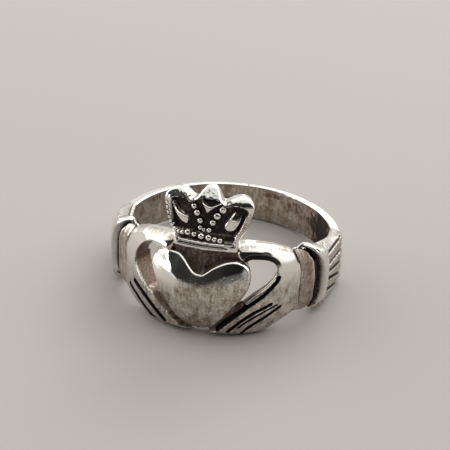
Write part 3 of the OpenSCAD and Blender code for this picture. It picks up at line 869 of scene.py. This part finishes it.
def add(tree, kind, *values, sockets=(), **settings):
    """Adds a node with its settings. Its first inputs take values in their order, and sockets
    holds pairs of another input and its value. A value is a number, a colour, an output, or a
    node, which stands for its first output."""
    node = tree.nodes.new("ShaderNode" + kind)
    for key, value in settings.items():
        setattr(node, key, value)
    for key, value in [*enumerate(values), *sockets]:
        if isinstance(value, bpy.types.Node):
            value = value.outputs[0]
        if isinstance(value, bpy.types.NodeSocket):
            tree.links.new(value, node.inputs[key])
        else:
            node.inputs[key].default_value = value
    return node


def worn_silver():
    """Sterling silver, cast, polished and worn for years: bright on the high places, with fine
    scratches and dents, a thin brown film of tarnish where hands don't rub it, darker brown
    stains, and black silver sulphide left in the recesses. In some places the film, stain and
    black also carry painted shade."""
    material = bpy.data.materials.new("worn_sterling_silver")
    tree = blank_nodes(material)
    place = add(tree, "TexCoord").outputs["Object"]
    oxide, film, stain, haze = (
        add(tree, "Attribute", attribute_name=name).outputs["Fac"] for name in MARKS)
    # Scale is in features a metre. Cloudy tarnish has patches about 0.8 mm across, and fine wear
    # and pits are about 0.15 mm across. Real polishing lines are finer than these upright ones,
    # which are about 0.2 mm apart so that they show
    cloud = add(tree, "TexNoise", place, sockets=[
        ("Scale", 1300.0), ("Detail", 5.0), ("Roughness", 0.65)])
    fine = add(tree, "TexNoise", place, sockets=[
        ("Scale", 6500.0), ("Detail", 4.0), ("Roughness", 0.65)])
    upright = add(tree, "Mapping", place, sockets=[("Scale", (1.0, 1.0, 0.12))])
    lines = add(tree, "TexNoise", upright, sockets=[
        ("Scale", 4500.0), ("Detail", 3.0), ("Roughness", 0.6)])
    patch = add(tree, "MapRange", cloud, 0.38, 0.66)
    brushed = add(tree, "MapRange", lines, 0.35, 0.65)
    # the film is mottled by patches, lines and fine wear
    mottled = add(tree, "Math", brushed, 0.26, 0.08, operation="MULTIPLY_ADD")
    mottled = add(tree, "Math", patch, 0.50, mottled, operation="MULTIPLY_ADD")
    mottled = add(tree, "Math", mottled, add(tree, "MapRange", fine, 0.35, 0.65, 0.0, 0.36),
                  operation="ADD")
    filmed = add(tree, "Math", film, mottled, 0.04, operation="MULTIPLY_ADD")
    stained = add(tree, "Math", stain, add(tree, "MapRange", fine, 0.3, 0.6, 0.7, 1.0),
                  operation="MULTIPLY")
    # the black has a ragged edge
    ragged = add(tree, "Math", oxide, add(tree, "MapRange", fine, 0.0, 1.0, -0.25, 0.25),
                 operation="ADD")
    black = add(tree, "MapRange", ragged, 0.25, 0.75)
    # bright silver, and over it film, stain and sulphide, which in some places are painted shade
    colour = linear("#F2F0EA")
    for share, tint in ((filmed, "#958371"), (stained, "#6F4E3B"), (black, "#18110E")):
        colour = add(tree, "Mix", share, sockets=[(6, colour), (7, linear(tint))],
                     data_type="RGBA").outputs[2]
    tarnish = add(tree, "Math", black, stain, operation="MAXIMUM")
    # roughness: 0.07 where it is polished, more where it is hazy, filmed or tarnished
    dull = add(tree, "MapRange", fine, 0.3, 0.7, 0.12, 0.24)
    dull = add(tree, "Math", haze, dull, 0.07, operation="MULTIPLY_ADD")
    clouded = add(tree, "Math", film, patch, operation="MULTIPLY")
    dull = add(tree, "Math", clouded, 0.08, dull, operation="MULTIPLY_ADD")
    dull = add(tree, "Math", tarnish, 0.30, dull, operation="MULTIPLY_ADD")
    # bump: half lines, half fine wear, up to 0.03 mm, stronger where it is hazy
    wear = add(tree, "Math", fine, 0.5, operation="MULTIPLY")
    wear = add(tree, "Math", lines, 0.5, wear, operation="MULTIPLY_ADD")
    strength = add(tree, "Math", haze, 0.35, 0.12, operation="MULTIPLY_ADD")
    # every result here is a share, so it stays between 0 and 1
    for node in tree.nodes:
        if node.bl_idname == "ShaderNodeMath":
            node.use_clamp = True
    bump = add(tree, "Bump", sockets=[
        ("Height", wear), ("Strength", strength), ("Distance", 0.00003)])
    # tarnish is less metallic than bare silver
    shader = add(tree, "BsdfPrincipled", sockets=[
        ("Base Color", colour), ("Roughness", dull), ("Normal", bump),
        ("Metallic", add(tree, "MapRange", tarnish, 0.2, 1.0, 1.0, 0.45))])
    add(tree, "OutputMaterial", shader)
    return material


def pale_floor():
    """Pale matt board, an even ground that shows the ring's soft shadow."""
    mesh = bpy.data.meshes.new("floor")
    # half its width, in metres
    w = 1.5
    mesh.from_pydata([(-w, -w, 0), (w, -w, 0), (w, w, 0), (-w, w, 0)], [], [(0, 1, 2, 3)])
    material = bpy.data.materials.new("pale_matt_board")
    tree = blank_nodes(material)
    shader = add(tree, "BsdfPrincipled", linear("#ABA5A1"), sockets=[("Roughness", 0.85)])
    add(tree, "OutputMaterial", shader)
    mesh.materials.append(material)
    put("floor", mesh)


def soft_box(name, place, aim, width, height, power):
    """A large soft lamp at place, facing aim."""
    lamp = bpy.data.lights.new(name, "AREA")
    lamp.shape = "RECTANGLE"
    lamp.size, lamp.size_y, lamp.energy = width, height, power
    ob = put(name, lamp)
    ob.location = place
    ob.rotation_euler = (Vector(aim) - Vector(place)).to_track_quat("-Z", "Y").to_euler()


# Zones of the daylight: each is a first value, and soft steps that change it in turn. A step's row
# says how it does so, what it follows, where it starts and ends, and its values there. x, y and z
# are the direction, bearing is from the front to the right and height is up, both in degrees, and
# the other names are zones above.
ZONES = [
    # bright overhead, behind, high up and at the left
    ("bright", 0.0, ("ADD", "z", 0.10, 0.80, 0.0, 0.50), ("ADD", "y", -0.30, 0.65, 0.36, 0.81),
     ("ADD", "height", 60.0, 72.0, 0.0, 0.22), ("ADD", "x", -0.45, -0.90, 0.0, 0.70)),
    # bright at the right, below 75 degrees
    ("right", 1.0, ("MULTIPLY", "bearing", 58.0, 66.0, 0.0, 0.90),
     ("MULTIPLY", "bearing", 150.0, 115.0, 0.0, 1.0),
     ("MULTIPLY", "height", 75.0, 55.0, 0.0, 1.0), ("MULTIPLY", "height", 0.0, 16.0, 0.10, 1.0)),
    # dimmer in front on the right, up to 45 degrees
    ("dim", 0.55,
     ("MULTIPLY", "bearing", 5.0, 25.0, 0.0, 1.0), ("MULTIPLY", "bearing", 66.0, 56.0, 0.0, 1.0),
     ("MULTIPLY", "height", 45.0, 25.0, 0.0, 1.0)),
    # the dark zone in front: its left end lies further left higher up, its foot is higher on the
    # right and at the far left and low again at the far right, and its top is lower on the right
    ("left_end", "bearing", ("ADD", "height", 14.0, 24.0, 0.0, 6.0)),
    ("over_foot", "height", ("SUBTRACT", "bearing", -10.0, 18.0, 1.0, 14.0),
     ("SUBTRACT", "bearing", -38.0, -58.0, 0.0, 16.0),
     ("SUBTRACT", "bearing", 60.0, 68.0, 0.0, -11.0)),
    ("to_top", "height", ("ADD", "bearing", 34.0, 50.0, 0.0, 13.0)),
    ("dark", 0.95, ("MULTIPLY", "left_end", -62.0, -56.0, 0.0, 1.0),
     ("MULTIPLY", "bearing", 78.0, 88.0, 1.0, 0.0),
     ("MULTIPLY", "over_foot", -2.0, 2.0, 0.0, 1.0), ("MULTIPLY", "to_top", 44.0, 50.0, 1.0, 0.0)),
]


def daylight():
    """Soft light from all round, (bright + right) (1 - dim) (1 - dark), with a dark zone in front
    for the silver to mirror. The camera itself sees an even pale ground."""
    world = bpy.data.worlds.new("daylight")
    bpy.context.scene.world = world
    tree = blank_nodes(world)
    way = add(tree, "TexCoord").outputs["Generated"]
    x, y, z = add(tree, "SeparateXYZ", way).outputs
    forward = add(tree, "Math", y, -1.0, operation="MULTIPLY")
    bearing = add(tree, "Math", x, forward, operation="ARCTAN2")
    bearing = add(tree, "Math", bearing, operation="DEGREES")
    height = add(tree, "Math", z, operation="ARCSINE")
    height = add(tree, "Math", height, operation="DEGREES")
    found = {"x": x, "y": y, "z": z, "bearing": bearing, "height": height}
    for name, first, *rows in ZONES:
        found[name] = found.get(first, first)
        for operation, followed, *ends in rows:
            step = add(tree, "MapRange", found[followed], *ends, interpolation_type="SMOOTHSTEP")
            found[name] = add(tree, "Math", found[name], step, operation=operation)
    level = add(tree, "Math", found["bright"], found["right"], operation="ADD")
    for shadow in (found["dim"], found["dark"]):
        share = add(tree, "Math", 1.0, shadow, operation="SUBTRACT")
        level = add(tree, "Math", level, share, operation="MULTIPLY")
    seen = add(tree, "Background", linear("#D9D6D3"), 1.0)
    lit = add(tree, "Background", linear("#FFFFFC"), level)
    path = add(tree, "LightPath")
    mix = add(tree, "MixShader", path.outputs["Is Camera Ray"], lit, seen)
    add(tree, "OutputWorld", mix)


def camera():
    """The photograph's camera: 26 degrees above the ring's own plane, 10.4 to its right, turned
    4.1 degrees, 108 mm from the ring's middle."""
    azimuth, lift, roll = 0.18178, 0.45387, 0.07171
    # its distance in mm, its focal length and frame in pixels, and the ring's middle there
    away, focal, frame_size = 12 * HOLE, 12 * 100.158, 450
    middle = (228.66, 240.80)
    back = np.array([math.sin(azimuth) * math.cos(lift), -math.cos(azimuth) * math.cos(lift),
                     math.sin(lift)])
    right = np.array([math.cos(azimuth), math.sin(azimuth), 0.0])
    up = np.cross(back, right)
    c, s = math.cos(roll), math.sin(roll)
    cam_x, cam_y = c * right + s * up, -s * right + c * up
    origin = resting(*np.zeros((3, 1)))[0]

    def turn(v):
        return resting(*[np.array([n * MM_IN_M]) for n in v])[0] - origin
    lens = bpy.data.cameras.new("camera")
    lens.sensor_width = 36
    lens.lens = focal * lens.sensor_width / frame_size
    lens.shift_x = (frame_size / 2 - middle[0]) / frame_size
    lens.shift_y = (middle[1] - frame_size / 2) / frame_size
    lens.clip_start, lens.clip_end = 0.005, 20
    ob = put("camera", lens)
    m = np.eye(4)
    m[:3, :3] = np.stack([turn(cam_x), turn(cam_y), turn(back)], 1)
    m[:3, 3] = origin + turn(back) * away / MM_IN_M
    ob.matrix_world = Matrix(m.tolist())
    bpy.context.scene.camera = ob


# each piece: its name, its spans of angle and height, the radius of the drum on which its grid is
# laid out, the grid's spacing, and the functions for its outline, front, back and lean
pieces = [
    relief("heart", (-26, 23), (-0.40, 0.43), HEART_DRUM, FINE, heart_inside, heart_shape,
           lambda a, z: hole_wall(a, z) + 0.012),
    relief("field_under_crown", (-18, 18), (0.13, 0.53), YOKE_DRUM, COARSE, yoke_inside,
           yoke_shape, lambda a, z: hole_wall(a, z) + 0.006),
    relief("crown", (-23, 23), (0.43, 1.07), LEAF_DRUM, FINE, crown_inside, crown_shape),
    relief("hand_right", (0, 55), (-0.43, 0.54), HAND_DRUM, FINE, *hand_fields(1)),
    relief("hand_left", (-55, 0), (-0.43, 0.54), HAND_DRUM, FINE, *hand_fields(-1)),
    relief("cuff_right", (44.6, 67.2), (-0.33, 0.43), 1.15, FINE, *cuff_fields(1)),
    relief("cuff_left", (-67.2, -44.6), (-0.33, 0.43), 1.15, FINE, *cuff_fields(-1)),
    relief("sleeve_right", (61.5, 106), (-0.34, 0.37), PLEAT_DRUM, FINE, *sleeve_fields(1)),
    relief("sleeve_left", (-97.5, -61.5), (-0.34, 0.37), PLEAT_DRUM, FINE, *sleeve_fields(-1)),
    band(),
]
silver = worn_silver()
for piece in pieces:
    piece.data.materials.append(silver)

pale_floor()
daylight()
# lamps: their place and aim, width and height in metres, and power in watts
soft_box("left_window", (-0.36, 0.0, 0.068), (0, 0, 0.008), 0.52, 0.13, 0.75)
soft_box("back_window", (0.08, 0.32, 0.22), (0, 0.01, 0.005), 0.30, 0.20, 0.7)
camera()
bpy.context.scene.view_settings.view_transform = "Standard"
